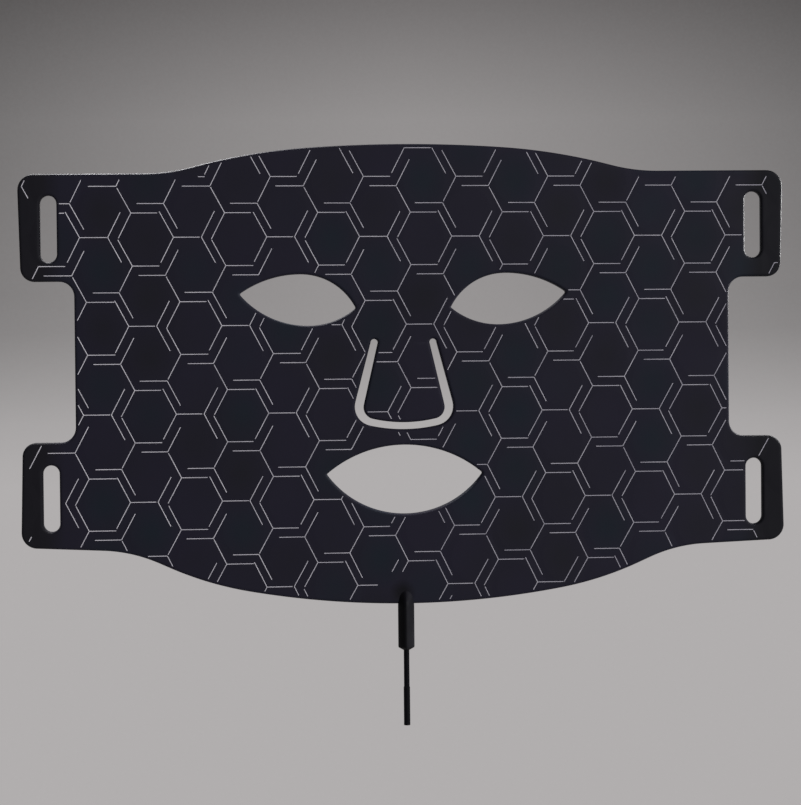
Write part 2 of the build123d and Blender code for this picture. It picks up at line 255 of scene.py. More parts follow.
def joined(runs, radii):
    """The runs as one run of points. Each radius rounds the corner after its run, and 0 leaves it."""
    runs = list(runs)
    bends = []
    for number, radius in enumerate(radii):
        following = (number + 1) % len(runs)
        bend = runs[number][:0]
        if radius:
            runs[number], bend, runs[following] = round_corner(runs[number], runs[following], radius)
        bends.append(bend)
    bends += [runs[0][:0]] * (len(runs) - len(bends))
    points = np.concatenate([part for pair in zip(runs, bends) for part in pair])
    return points[np.linalg.norm(points - np.roll(points, 1, axis=0), axis=1) > DRAWING_STEP / 10]


def mirrored(points):
    return (points * (-1, 1))[::-1]


def heading_of(points):
    return points[-1] - points[-2]


def draw_outline():
    brow = arc((0, TOP_Z), (1, 0), BROW_MIDDLE)
    temple = arc(BROW_MIDDLE, heading_of(brow), BROW_END)
    chin = arc((0, BOTTOM_Z), (1, 0), JAW_MIDDLE)
    jaw = arc(JAW_MIDDLE, heading_of(chin), JAW_END)
    fall = heading_of(temple)[1] / heading_of(temple)[0]
    corners = [
        BROW_END,
        (BROW_END[0] + (UPPER_TAB_TOP_Z - BROW_END[1]) / fall, UPPER_TAB_TOP_Z),
        (TAB_EDGE_X, UPPER_TAB_TOP_Z),
        (TAB_EDGE_X - TAB_TAPER, UPPER_TAB_BOTTOM_Z),
        (BODY_SIDE_X, UPPER_TAB_BOTTOM_Z),
        (BODY_SIDE_X, LOWER_TAB_TOP_Z),
        (TAB_EDGE_X - TAB_TAPER, LOWER_TAB_TOP_Z),
        (TAB_EDGE_X, LOWER_TAB_BOTTOM_Z),
        JAW_CORNER,
        JAW_END,
    ]
    sides = [line(a, b) for a, b in zip(corners, corners[1:])]
    tab_radii = [TAB_TOP_ROUND, TAB_LOW_ROUND, TAB_ROOT_ROUND]
    tabs = joined(sides, [BROW_ROUND, *tab_radii, *tab_radii[::-1], JAW_ROUND])
    right_half = np.concatenate([brow[:-1], temple[:-1], tabs, jaw[::-1][1:], chin[::-1][1:]])
    return np.concatenate([right_half[:-1], mirrored(right_half)[:-1]])


def draw_right_eye():
    runs = [
        arc(EYE_TOP, (1, 0), EYE_OUTER),
        arc(EYE_BOTTOM, (1, 0), EYE_OUTER)[::-1],
        arc(EYE_BOTTOM, (-1, 0), EYE_INNER),
        arc(EYE_TOP, (-1, 0), EYE_INNER)[::-1],
    ]
    return joined(runs, [POINT_ROUND, 0, POINT_ROUND, 0])


def draw_mouth():
    left = (-MOUTH_HALF_WIDTH, MOUTH_CORNER_Z)
    right = (MOUTH_HALF_WIDTH, MOUTH_CORNER_Z)
    upper = bowed_arc(left, right, MOUTH_TOP_Z - MOUTH_CORNER_Z)
    lower = bowed_arc(right, left, MOUTH_CORNER_Z - MOUTH_BOTTOM_Z)
    top, bottom = len(upper) // 2, len(lower) // 2
    runs = [upper[top:], lower[:bottom], lower[bottom:], upper[:top]]
    return joined(runs, [POINT_ROUND, 0, POINT_ROUND, 0])


def draw_nose_slot():
    """The slot's edge: its outer side, up the right arm and over its top, and back along the flap."""
    outer_x = SLOT_ARM_TOP_X + SLOT_ARM_WIDTH / 2
    inner_x = SLOT_ARM_TOP_X - SLOT_ARM_WIDTH / 2
    outer, inner = SLOT_OUTER_CORNER, SLOT_INNER_CORNER
    runs = [
        line((-outer_x, SLOT_ARM_TOP_Z), (-outer[0], outer[1])),
        bowed_arc((-outer[0], outer[1]), outer, SLOT_OUTER_BOTTOM_Z - outer[1]),
        line(outer, (outer_x, SLOT_ARM_TOP_Z)),
        arc((outer_x, SLOT_ARM_TOP_Z), (0, 1), (inner_x, SLOT_ARM_TOP_Z)),
        line((inner_x, SLOT_ARM_TOP_Z), inner),
        bowed_arc(inner, (-inner[0], inner[1]), inner[1] - SLOT_INNER_BOTTOM_Z),
        line((-inner[0], inner[1]), (-inner_x, SLOT_ARM_TOP_Z)),
        arc((-inner_x, SLOT_ARM_TOP_Z), (0, 1), (-outer_x, SLOT_ARM_TOP_Z)),
    ]
    radii = [SLOT_OUTER_ROUND, SLOT_OUTER_ROUND, 0, 0, SLOT_INNER_ROUND, SLOT_INNER_ROUND, 0, 0]
    return joined(runs, radii)


def draw_strap_slot(x, z):
    half_width = STRAP_SLOT_WIDTH / 2
    top = z + STRAP_SLOT_LENGTH / 2 - half_width
    bottom = z - STRAP_SLOT_LENGTH / 2 + half_width
    runs = [
        line((x + half_width, bottom), (x + half_width, top)),
        arc((x + half_width, top), (0, 1), (x - half_width, top)),
        line((x - half_width, top), (x - half_width, bottom)),
        arc((x - half_width, bottom), (0, -1), (x + half_width, bottom)),
    ]
    return joined(runs, [0, 0, 0, 0])


# ---- contours and regions
def inside(points, loop):
    """Which of the points lie inside a closed loop."""
    x, z = points[:, 0], points[:, 1]
    found = np.zeros(len(points), bool)
    for (x1, z1), (x2, z2) in zip(loop, np.roll(loop, -1, axis=0)):
        if z1 != z2:
            crosses = ((z1 > z) != (z2 > z)) & (x < (x2 - x1) * (z - z1) / (z2 - z1) + x1)
            found ^= crosses
    return found


class Contour:
    """One closed edge of the mask, with unit vectors that point into the silicone beside it."""

    def __init__(self, points, is_opening):
        ahead = np.roll(points, -1, axis=0) - np.roll(points, 1, axis=0)
        ahead /= np.linalg.norm(ahead, axis=1)[:, None]
        area = sum(cross(a, b) for a, b in zip(points, np.roll(points, -1, axis=0)))
        side = math.copysign(1, area) * (-1 if is_opening else 1)
        into = side * np.column_stack([-ahead[:, 1], ahead[:, 0]])
        self.seam_places = {}
        rim = points + into * RIM_DEPTH
        for seam in SEAMS:
            for index in seam.crossings(rim):
                self.seam_places[index] = seam
        kept = self.thin(points)
        self.points, self.into = points[kept], into[kept]
        self.seam_places = {kept.index(i): seam for i, seam in self.seam_places.items()}

    def thin(self, points):
        """The places to keep: close together where the edge turns, and each seam's own."""
        kept = [0]
        steps = np.roll(points, -1, axis=0) - points
        headings = np.unwrap(np.arctan2(steps[:, 1], steps[:, 0]))
        travelled = np.concatenate([[0], np.cumsum(np.linalg.norm(steps, axis=1))])
        for index in range(1, len(points)):
            far = travelled[index] - travelled[kept[-1]] >= LONGEST_EDGE
            turned = abs(headings[index] - headings[kept[-1]]) >= SHARPEST_TURN
            if far or turned or index in self.seam_places:
                kept.append(index)
        return kept

    def ring(self, depth, on_seams=False):
        """The contour moved into the silicone. With on_seams, its seam places lie on their seams."""
        ring = self.points + self.into * depth
        if on_seams:
            for index, seam in self.seam_places.items():
                ring[index, seam.axis] = seam.value
        return ring


class Seam:
    """A straight line on which two pieces of skin meet: x (axis 0) or z (axis 1) has one value."""

    def __init__(self, axis, value, low=-math.inf, high=math.inf):
        self.axis, self.value, self.low, self.high = axis, value, low, high

    def crossings(self, ring):
        """The places of a ring after which it crosses this seam."""
        gap = ring[:, self.axis] - self.value
        other = ring[:, 1 - self.axis]
        crossed = (gap > 0) != (np.roll(gap, -1) > 0)
        crossed &= (other > self.low) & (other < self.high)
        return [int(i) for i in np.flatnonzero(crossed)]


RIM_ROUND = 1.3
RIM_DEPTH = 2.0
SEAMS = [Seam(0, side * x) for x in (CHEEK_SEAM_X, SIDE_SEAM_X, TAB_SEAM_X) for side in (-1, 1)]
SEAMS.append(Seam(1, FLAP_BEND[0], -SLOT_ARM_TOP_X, SLOT_ARM_TOP_X))

right_eye = draw_right_eye()
nose_slot = draw_nose_slot()
OPENINGS = [right_eye, mirrored(right_eye), draw_mouth(), nose_slot]
OPENINGS += [draw_strap_slot(side * STRAP_SLOT_X, z) for side in (-1, 1) for z in STRAP_SLOT_HEIGHTS]
CONTOURS = [Contour(draw_outline(), False)] + [Contour(opening, True) for opening in OPENINGS]

# the outer side of the nose slot, which comes first in its run of points, holds the flap
slot_edge = CONTOURS[4].points
FLAP_ROOM = slot_edge[: int(np.argmax(slot_edge[:, 1] > SLOT_ARM_TOP_Z + DRAWING_STEP / 2))]

PANELS = ["centre"]
PANELS += [f"{word}_{kind}" for kind in ("cheek", "side") for word in ("left", "right")]
PANELS += [f"{level}_{word}_tab" for level in ("upper", "lower") for word in ("left", "right")]
PANELS += ["nose_flap"]


def panel_of(points):
    """The number, in PANELS, of the piece of skin that each point belongs to."""
    x, z = points[:, 0], points[:, 1]
    right = (x > 0).astype(int)
    tab = abs(x) > TAB_SEAM_X
    panel = np.zeros(len(points), int)
    panel[abs(x) > CHEEK_SEAM_X] = PANELS.index("left_cheek")
    panel[abs(x) > SIDE_SEAM_X] = PANELS.index("left_side")
    panel[tab] = PANELS.index("upper_left_tab")
    # each right piece comes straight after its left one, and each lower tab two after its upper one
    panel[panel > 0] += right[panel > 0]
    panel[tab & (z < TAB_MIDDLE_Z)] += 2
    on_flap = (z < FLAP_BEND[0]) & (z > SLOT_OUTER_BOTTOM_Z)
    on_flap &= inside(points, FLAP_ROOM)
    panel[on_flap] = PANELS.index("nose_flap")
    return panel


# ---- filling flat areas with triangles
GRID_STEP = 6.0
BEND_STEP = 1.25
GRID_CLEARANCE = 1.4
FLAP_GRID_REACH = 12.0
FLAP_GRID_STEP = 3.0
SAME_PLACE = 1e-5


def grid_columns():
    """x of the columns of inner points, close together where the skin bends."""
    columns = list(np.arange(0.0, TAB_EDGE_X, GRID_STEP))
    for low, high in (CHEEK_BEND, SIDE_BEND, TAB_BEND):
        columns = [x for x in columns if not low - BEND_STEP < x < high + BEND_STEP]
        columns += list(np.arange(low, high + BEND_STEP / 2, BEND_STEP))
    return sorted({round(side * x, 4) for x in columns for side in (-1, 1)})


def distances_to(loops, points):
    """How far each of the points lies from the nearest point of these loops."""
    finder = KDTree(sum(len(loop) for loop in loops))
    for index, (x, z) in enumerate(p for loop in loops for p in loop):
        finder.insert((x, z, 0), index)
    finder.balance()
    return np.array([finder.find((x, z, 0))[2] for x, z in points])


def inner_points(loops):
    """A grid of points over the whole mask, clear of its edges and seams."""
    rows = np.arange(BOTTOM_Z, TOP_Z, GRID_STEP)
    points = [(x, z) for x in grid_columns() for z in rows]
    flap_columns = np.arange(-FLAP_GRID_REACH, FLAP_GRID_REACH + 0.1, FLAP_GRID_STEP)
    flap_rows = np.arange(FLAP_BEND[1], FLAP_BEND[0], BEND_STEP)
    points = np.array(points + [(x, z) for x in flap_columns for z in flap_rows])
    keep = distances_to(loops, points) > GRID_CLEARANCE
    for seam in SEAMS:
        keep &= abs(points[:, seam.axis] - seam.value) > BEND_STEP / 3
    return points[keep]


def seam_chains(loops):
    """For each stretch of each seam that lies in the silicone, the points along it."""
    chains = []
    for seam in SEAMS:
        ends = []
        for contour, loop in zip(CONTOURS, loops):
            ends += [tuple(loop[i]) for i, s in contour.seam_places.items() if s is seam]
        ends.sort(key=lambda p: p[1 - seam.axis])
        for start, end in zip(ends[::2], ends[1::2]):
            length = math.dist(start, end)
            count = max(2, round(length / GRID_STEP) + 1)
            chains.append(np.linspace(start, end, count))
    return chains


def fill(depth, holes=()):
    """Triangles over the mask at one depth of its contours: points, corners by panel, and seam chains."""
    loops = [contour.ring(depth, on_seams=True) for contour in CONTOURS] + list(holes)
    points, edges = [], []
    for loop in loops:
        first = len(points)
        points += [tuple(p) for p in loop]
        edges += [(first + i, first + (i + 1) % len(loop)) for i in range(len(loop))]
    chains = seam_chains(loops)
    for chain in chains:
        first = len(points)
        points += [tuple(p) for p in chain]
        edges += [(first + i, first + i + 1) for i in range(len(chain) - 1)]
    points += [tuple(p) for p in inner_points(loops)]
    made = delaunay_2d_cdt([Vector(p) for p in points], edges, [], 0, SAME_PLACE)
    made_corners, _, made_faces, given_corners, _, _ = made
    corners = np.array([tuple(corner) for corner in made_corners])
    # the filler rounds places off, so each corner that was given goes back to its own
    for index, given in enumerate(given_corners):
        if given:
            corners[index] = points[given[0]]
    triangles = np.array([list(face) for face in made_faces])
    middles = corners[triangles].mean(axis=1)
    keep = inside(middles, loops[0])
    for loop in loops[1:]:
        keep &= ~inside(middles, loop)
    triangles, panels = triangles[keep], panel_of(middles[keep])
    return corners, {number: triangles[panels == number] for number in range(len(PANELS))}, chains


# ---- meshes
SKIN_SHARP_ANGLE = 38
BOOT_SHARP_ANGLE = 50


class Shell:
    """Collects faces given by their corners in millimetres, and makes one closed mesh of them."""

    def __init__(self):
        self.places, self.faces = {}, []

    def place(self, corner):
        """The corner rounded off, so that corners meant to meet are one."""
        return tuple(round(float(value), 4) for value in corner)

    def corner(self, corner):
        return self.places.setdefault(self.place(corner), len(self.places))

    def add(self, *corners):
        face = list(dict.fromkeys(self.corner(c) for c in corners))
        if len(face) > 2:
            self.faces.append(face)

    def add_flat(self, corners, triangles, y):
        for triangle in triangles:
            self.add(*[(corners[i][0], y, corners[i][1]) for i in triangle])

    def add_strips(self, rings, places):
        """Four-sided faces from each (ring, y) to the next, at these places round the rings."""
        for i in places:
            j = (i + 1) % len(rings[0][0])
            for (near, near_y), (far, far_y) in zip(rings, rings[1:]):
                self.add(
                    (near[i][0], near_y, near[i][1]),
                    (near[j][0], near_y, near[j][1]),
                    (far[j][0], far_y, far[j][1]),
                    (far[i][0], far_y, far[i][1]),
                )

    def add_rim(self, contour, profile, panel):
        """Strips along a contour, through the profile's steps, where it belongs to the panel."""
        rim = contour.ring(RIM_DEPTH)
        middles = (rim + np.roll(rim, -1, axis=0)) / 2
        rings = [(contour.ring(depth, on_seams), y) for depth, y, on_seams in profile]
        self.add_strips(rings, np.flatnonzero(panel_of(middles) == panel))

    def add_caps(self, front_chains, front_y, back_chains, back_y):
        """The flat end of the skin at each seam, where the shell has corners all along it."""
        for front_chain, back_chain in zip(front_chains, back_chains):
            corners = [(x, front_y, z) for x, z in front_chain]
            corners += [(x, back_y, z) for x, z in back_chain[::-1]]
            if all(self.place(c) in self.places for c in corners):
                self.add(*corners)

    def to_mesh(self, name, sharp_degrees=SKIN_SHARP_ANGLE):
        made = bmesh.new()
        corners = [made.verts.new(Vector(place) * MM) for place in self.places]
        for face in self.faces:
            try:
                made.faces.new([corners[i] for i in face])
            except ValueError:
                # that face is already there
                pass
        open_edges = [edge for edge in made.edges if edge.is_boundary]
        if open_edges:
            bmesh.ops.holes_fill(made, edges=open_edges, sides=0)
        many_sided = [face for face in made.faces if len(face.verts) > 4]
        bmesh.ops.triangulate(made, faces=many_sided, ngon_method="BEAUTY")
        loose = [corner for corner in made.verts if not corner.link_faces]
        bmesh.ops.delete(made, geom=loose, context="VERTS")
        bmesh.ops.recalc_face_normals(made, faces=made.faces)
        for face in made.faces:
            face.smooth = True
        for edge in made.edges:
            edge.smooth = edge.is_manifold and edge.calc_face_angle(0) < math.radians(sharp_degrees)
        odd = sum(not edge.is_manifold for edge in made.edges)
        print(f"{name}: {len(made.faces)} faces, {odd} edges that don't join two faces")
        mesh = bpy.data.meshes.new(name)
        made.to_mesh(mesh)
        made.free()
        return mesh


def to_piece(name, mesh, material):
    """A piece of the object, which remembers its rest position for its material."""
    piece = put_in_scene(name, mesh)
    mesh.materials.append(material)
    places = np.zeros(len(mesh.vertices) * 3, np.float32)
    mesh.vertices.foreach_get("co", places)
    rest = mesh.attributes.new("rest", "FLOAT_VECTOR", "POINT")
    rest.data.foreach_set("vector", places)
    return piece


def bend_with(piece, panel):
    """Attaches a centre piece to the mask's centre body; any other piece gets its place baked into its mesh
    and follows no body.
    """
    if panel == "centre":
        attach(piece, "mask_centre")
    elif panel == "nose_flap":
        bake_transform(piece)
    else:
        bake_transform(piece)


def cad_node(panel, layer):
    """The CAD node that a piece of front or back skin stands for."""
    if panel == "nose_flap":
        return f"nose_flap_{layer}_skin"
    if panel.endswith("tab"):
        level, word, _ = panel.split("_")
        return f"strap_tab_{level}_{word}"
    return f"{layer}_skin_{panel}"


def quarter_round(radius, face_y, towards, steps=7):
    """Profile steps round an outer edge, from the flat face to the wall: (depth, y, on_seams)."""
    profile = []
    for step in range(steps + 1):
        angle = math.radians(90) * step / steps
        depth = radius * (1 - math.sin(angle))
        profile.append((depth, face_y + towards * radius * (1 - math.cos(angle)), False))
    return profile


GLUE_CHAMFER = 0.25
TAB_BACK_ROUND = 0.9
BACK_ROUND = 0.8
BACK_RIM_DEPTH = 1.3
BACK_GLUE_DEPTH = 0.9
LENS_HOLE_ROUND = 0.35
LENS_HOLE_SIDES = 28
LENS_HOLE_STEPS = 4
CROWN_TOLERANCE = 1e-6


def front_profile(panel):
    """From the front face over the rounded rim: to the cavity's floor, or to the back of a solid tab."""
    profile = [(RIM_DEPTH, FRONT_Y, True)] + quarter_round(RIM_ROUND, FRONT_Y, 1)
    if panel.endswith("tab"):
        profile += quarter_round(TAB_BACK_ROUND, GLUE_Y, -1)[::-1]
        return profile + [(RIM_DEPTH, GLUE_Y, True)]
    profile += [(0.0, GLUE_Y - GLUE_CHAMFER, False), (GLUE_CHAMFER, GLUE_Y, False)]
    return profile + [(EDGE_WALL, GLUE_Y, True), (EDGE_WALL, PLATE_BACK_Y, True)]


def back_profile():
    """From the glued face over a small chamfer and the wall to the rounded back."""
    profile = [(BACK_GLUE_DEPTH, GLUE_Y, True), (GLUE_CHAMFER, GLUE_Y, False)]
    profile += [(0.0, GLUE_Y + GLUE_CHAMFER, False)]
    return profile + quarter_round(BACK_ROUND, BACK_Y, -1)[::-1] + [(BACK_RIM_DEPTH, BACK_Y, True)]


def lens_places():
    """(x, z) of every lens, from the crowns of the CAD lenses, which stand out furthest."""
    places = set()
    for name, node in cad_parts.items():
        if "lenses" in name:
            crown_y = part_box(name)[1].y
            for corner in node.data.vertices:
                if corner.co.y > crown_y - CROWN_TOLERANCE:
                    places.add((round(corner.co.x / MM, 2), round(corner.co.z / MM, 2)))
    return sorted(places)


def circle(x, z, radius):
    angles = np.linspace(0, math.tau, LENS_HOLE_SIDES, endpoint=False)
    return np.column_stack([x + radius * np.cos(angles), z + radius * np.sin(angles)])


def add_lens_hole(shell, x, z):
    """The wall of one lens hole, with a rounded edge at the back."""
    rounding = quarter_round(LENS_HOLE_ROUND, BACK_Y, -1, LENS_HOLE_STEPS)[::-1]
    profile = [(0.0, GLUE_Y)] + [(depth, y) for depth, y, _ in rounding]
    rings = [(circle(x, z, LENS_HOLE_RADIUS + depth), y) for depth, y in profile]
    shell.add_strips(rings, range(LENS_HOLE_SIDES))


def finish_skin(shell, name, material, panel, layer):
    """Makes a piece of skin from its shell, in place of its CAD node."""
    piece = to_piece(name, shell.to_mesh(name), material)
    bend_with(piece, panel)
    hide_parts(cad_node(panel, layer))


def make_front_skins(material):
    """The front sheet, with the tabs, which are solid to the glue line."""
    face, face_triangles, face_chains = fill(RIM_DEPTH)
    floor, floor_triangles, floor_chains = fill(EDGE_WALL)
    for number, panel in enumerate(PANELS):
        shell = Shell()
        shell.add_flat(face, face_triangles[number], FRONT_Y)
        for contour in CONTOURS:
            shell.add_rim(contour, front_profile(panel), number)
        if panel.endswith("tab"):
            shell.add_flat(face, face_triangles[number], GLUE_Y)
            shell.add_caps(face_chains, FRONT_Y, face_chains, GLUE_Y)
        else:
            shell.add_flat(floor, floor_triangles[number], PLATE_BACK_Y)
            shell.add_caps(face_chains, FRONT_Y, floor_chains, PLATE_BACK_Y)
        finish_skin(shell, f"moulded_skin_{panel}", material, panel, "front")


def make_back_skins(material):
    """The back sheet, which has no tabs, with a hole for each lens."""
    places = np.array(lens_places())
    narrow_holes = [circle(x, z, LENS_HOLE_RADIUS) for x, z in places]
    wide_holes = [circle(x, z, LENS_HOLE_RADIUS + LENS_HOLE_ROUND) for x, z in places]
    glue, glue_triangles, glue_chains = fill(BACK_GLUE_DEPTH, narrow_holes)
    skin, skin_triangles, skin_chains = fill(BACK_RIM_DEPTH, wide_holes)
    lens_panels = panel_of(places)
    for number, panel in enumerate(PANELS):
        if panel.endswith("tab"):
            continue
        shell = Shell()
        shell.add_flat(glue, glue_triangles[number], GLUE_Y)
        shell.add_flat(skin, skin_triangles[number], BACK_Y)
        for contour in CONTOURS:
            shell.add_rim(contour, back_profile(), number)
        shell.add_caps(glue_chains, GLUE_Y, skin_chains, BACK_Y)
        for x, z in places[lens_panels == number]:
            add_lens_hole(shell, x, z)
        finish_skin(shell, f"lens_skin_{panel}", material, panel, "back")


# ---- the printed hexagon pattern
# Strokes start from the corners of hexagons whose middles form rows. Round each middle, three corners
# are near and three are far, so that neighbouring hexagons have double sides.
HEX_PITCH = 42.66
HEX_STRETCH = 1.10
HEX_FIRST = (-160.8, 28.2)
NEAR_CORNER = 12.7
FAR_CORNER = 17.2
STROKE_LENGTH = 12.75
STROKE_HALF_WIDTH = 0.18
STROKE_HEIGHT = 0.12
STROKE_SINK = 0.15
STROKE_STEP = 0.25
STROKE_TO_EDGE = 1.3
LEVEL_SPOKE_LIFT = 0.9
SHORTEST_RUN = 8
BAR_EVERY = 6
PLAIN_STRIP = (-17.3, 14.0)
PLAIN_BROW_STRIP = 2.8
PLAIN_CHIN_HALF_WIDTH = 13.0
PLAIN_CHIN_TOP_Z = -127.0
STROKE_SEED = 7
SHORTEST_SHARE = 0.93
HEX_ROWS = range(-2, 6)
HEX_COLUMNS = range(-1, 10)


def print_drift(x, z):
    """How far the pattern has crept sideways and upwards on the skin."""
    across, up = x / 150.0, (z + 50.0) / 80.0
    sideways = 1.3 * up - 0.4 - 0.25 * across - 0.7 * across**2 + 1.4 * across * up - 0.8 * up**2
    upwards = 0.2 * across - 0.1 - 0.6 * across * up + 0.4 * up**2
    return np.column_stack([x + sideways, z + upwards])


def unit(degrees):
    return np.array([math.cos(math.radians(degrees)), math.sin(math.radians(degrees))])


def stroke_ends():
    """Start and end of every stroke before it is cut to the skin, in millimetres."""
    row_height = HEX_PITCH * math.sin(math.radians(60))
    strokes = []
    for row in HEX_ROWS:
        for column in HEX_COLUMNS:
            middle = np.array([(column - row % 2 / 2) * HEX_PITCH, -row * row_height])
            for angle in (0, 120, 240):
                lift = np.array([0, LEVEL_SPOKE_LIFT if angle == 0 else 0])
                near = middle + lift + NEAR_CORNER * unit(angle)
                far = middle + lift + FAR_CORNER * unit(angle + 180)
                strokes += [(near, near + STROKE_LENGTH * unit(angle + turn)) for turn in (-120, 0, 120)]
                strokes += [(far, far + STROKE_LENGTH * unit(angle + 180 + turn)) for turn in (-120, 120)]
    return strokes


def stroke_paths(count):
    """Every stroke as this many points, each stroke a little short of its full length."""
    chance = random.Random(STROKE_SEED)
    shares = np.linspace(0, 1, count)[:, None]
    paths = []
    for start, end in stroke_ends():
        path = start + (end - start) * chance.uniform(SHORTEST_SHARE, 1.0) * shares
        path = path * (1.0, HEX_STRETCH) + HEX_FIRST
        paths.append(print_drift(path[:, 0], path[:, 1]))
    return paths


def printed(points, distances):
    """Which of the points carry ink: those on the skin, clear of its edges and its plain strips."""
    across, height = abs(points[:, 0]), points[:, 1]
    shown = inside(points, CONTOURS[0].points) & (distances > STROKE_TO_EDGE)
    for contour in CONTOURS[1:]:
        shown &= ~inside(points, contour.points)
    for slot_z in STRAP_SLOT_HEIGHTS:
        above = height - slot_z
        shown &= (across < STRAP_SLOT_X) | (above < PLAIN_STRIP[0]) | (above > PLAIN_STRIP[1])
    shown &= (across < SIDE_SEAM_X) | (height < UPPER_TAB_TOP_Z - PLAIN_BROW_STRIP)
    return shown & ((across > PLAIN_CHIN_HALF_WIDTH) | (height > PLAIN_CHIN_TOP_Z))


def runs_of(values):
    """The places of the values, split wherever the value changes."""
    return np.split(np.arange(len(values)), np.flatnonzero(np.diff(values)) + 1)


def print_strokes(bars):
    """Adds each stroke, cut where the skin ends, to the bars of the pieces that it lies on."""
    count = int(STROKE_LENGTH * HEX_STRETCH / STROKE_STEP)
    paths = stroke_paths(count)
    points = np.concatenate(paths)
    distances = distances_to([draw_outline()] + OPENINGS, points)
    panels = np.where(printed(points, distances), panel_of(points), -1)
    for number, path in enumerate(paths):
        mine = slice(number * count, (number + 1) * count)
        panel, distance = panels[mine], distances[mine]
        for run in runs_of(panel >= 0):
            if panel[run[0]] < 0 or len(run) < SHORTEST_RUN:
                continue
            for part in runs_of(panel[run]):
                reach = run[part[0] : part[-1] + 2]
                if len(reach) > 1:
                    bars[panel[reach[0]]].add_stroke(path[reach], distance[reach])


def surface_y(distance):
    """y of the front of the skin at this distance from its edge, over the rounded rim."""
    drop = np.clip(RIM_ROUND - distance, 0, RIM_ROUND)
    return FRONT_Y + RIM_ROUND - np.sqrt(RIM_ROUND**2 - drop**2)


class Bars:
    """Low bars with a narrower top, each closed, as one mesh."""

    def __init__(self):
        self.corners, self.faces = [], []

    def add_stroke(self, path, distance):
        """One raised stroke of ink, which follows the skin over its rounded rim."""
        picked = sorted({*range(0, len(path), BAR_EVERY), len(path) - 1})
        path, distance = path[picked], distance[picked]
        along = (path[-1] - path[0]) / np.linalg.norm(path[-1] - path[0])
        across = np.array([-along[1], along[0]])
        half_section = [(1.0, -STROKE_SINK), (1.0, STROKE_HEIGHT / 3), (0.5, STROKE_HEIGHT)]
        section = [(-w, h) for w, h in half_section] + half_section[::-1]
        first, sides = len(self.corners), len(section)
        for place, skin_y in zip(path, surface_y(distance)):
            for width, height in section:
                x, z = place + across * STROKE_HALF_WIDTH * width
                self.corners.append((x, skin_y - height, z))
        last = len(self.corners) - sides
        for low in range(first, last, sides):
            for i in range(sides):
                j = (i + 1) % sides
                self.faces.append([low + i, low + j, low + sides + j, low + sides + i])
        self.faces.append([first + i for i in range(sides)])
        self.faces.append([last + i for i in range(sides)])

    def to_mesh(self, name):
        mesh = bpy.data.meshes.new(name)
        mesh.from_pydata([Vector(corner) * MM for corner in self.corners], [], self.faces)
        made = bmesh.new()
        made.from_mesh(mesh)
        bmesh.ops.recalc_face_normals(made, faces=made.faces)
        made.to_mesh(mesh)
        made.free()
        return mesh


def make_hexagon_print(material):
    bars = [Bars() for _ in PANELS]
    print_strokes(bars)
    for panel, group in zip(PANELS, bars):
        name = f"hexagon_print_{panel}"
        piece = to_piece(name, group.to_mesh(name), material)
        bend_with(piece, panel)


# ---- boot
BOOT_SIDES = 48
BOOT_TAPER_START_Z = -143.5
BOOT_RIDGE_POWER = 1.35
BOOT_SUNK_DEPTH = 0.45
BOOT_NARROWING = 0.12
# the levels of the boot's rounded shoulder: how far in, and how far above the top of the cone
BOOT_SHOULDER = ((0.25, -0.15), (0.05, 0.15))
BOOT_BARREL_START = 0.6


def boot_section(width, front, z):
    """One level of the boot: a soft ridge in front and a half round behind."""
    section = []
    for step in range(BOOT_SIDES):
        angle = math.tau * step / BOOT_SIDES
        c, s = math.cos(angle), math.sin(angle)
        power = 2 / (BOOT_RIDGE_POWER if s < 0 else 2.0)
        reach = front if s < 0 else min(width, BOOT_RADIUS)
        x = width * math.copysign(abs(c) ** power, c)
        y = BOOT_Y + reach * math.copysign(abs(s) ** power, s)
        section.append((x, y, z))
    return section


def make_boot(material):
    """Strain relief: a ridged rubber body that sinks into the chin and ends in a blunt cone."""
    levels = [(BOOT_CONE_END_RADIUS, BOOT_CONE_END_RADIUS, BOOT_END_Z)]
    cone_top_z = BOOT_END_Z + BOOT_CONE_HEIGHT
    for inset, rise in BOOT_SHOULDER:
        levels.append((BOOT_RADIUS - inset, BOOT_RADIUS - inset, cone_top_z + rise))
    for z in np.linspace(cone_top_z + BOOT_BARREL_START, BOOT_TAPER_START_Z, 9):
        levels.append((BOOT_RADIUS, BOOT_RADIUS, z))
    for share in np.linspace(0.08, 1, 14):
        sink = share * share * (3 - 2 * share)
        front = BOOT_RADIUS + (BOOT_SUNK_DEPTH - BOOT_RADIUS) * sink
        width = BOOT_RADIUS * (1 - BOOT_NARROWING * sink)
        levels.append((width, front, BOOT_TAPER_START_Z + share * (BOOT_TOP_Z - BOOT_TAPER_START_Z)))
    shell = Shell()
    sections = [boot_section(*level) for level in levels]
    for low, high in zip(sections, sections[1:]):
        for i in range(BOOT_SIDES):
            j = (i + 1) % BOOT_SIDES
            shell.add(low[i], low[j], high[j], high[i])
    mesh = shell.to_mesh("strain_relief", BOOT_SHARP_ANGLE)
    boot = to_piece("strain_relief", mesh, material)
    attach(boot, "mask_centre")
    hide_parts("cable_boot")
    return boot


# ---- materials
def srgb(red, green, blue):
    """A colour as seen on screen, 0 to 255, as the linear colour that shaders use."""
    linear = [((c / 255 + 0.055) / 1.055) ** 2.4 if c > 10 else c / 255 / 12.92 for c in (red, green, blue)]
    return (*linear, 1.0)


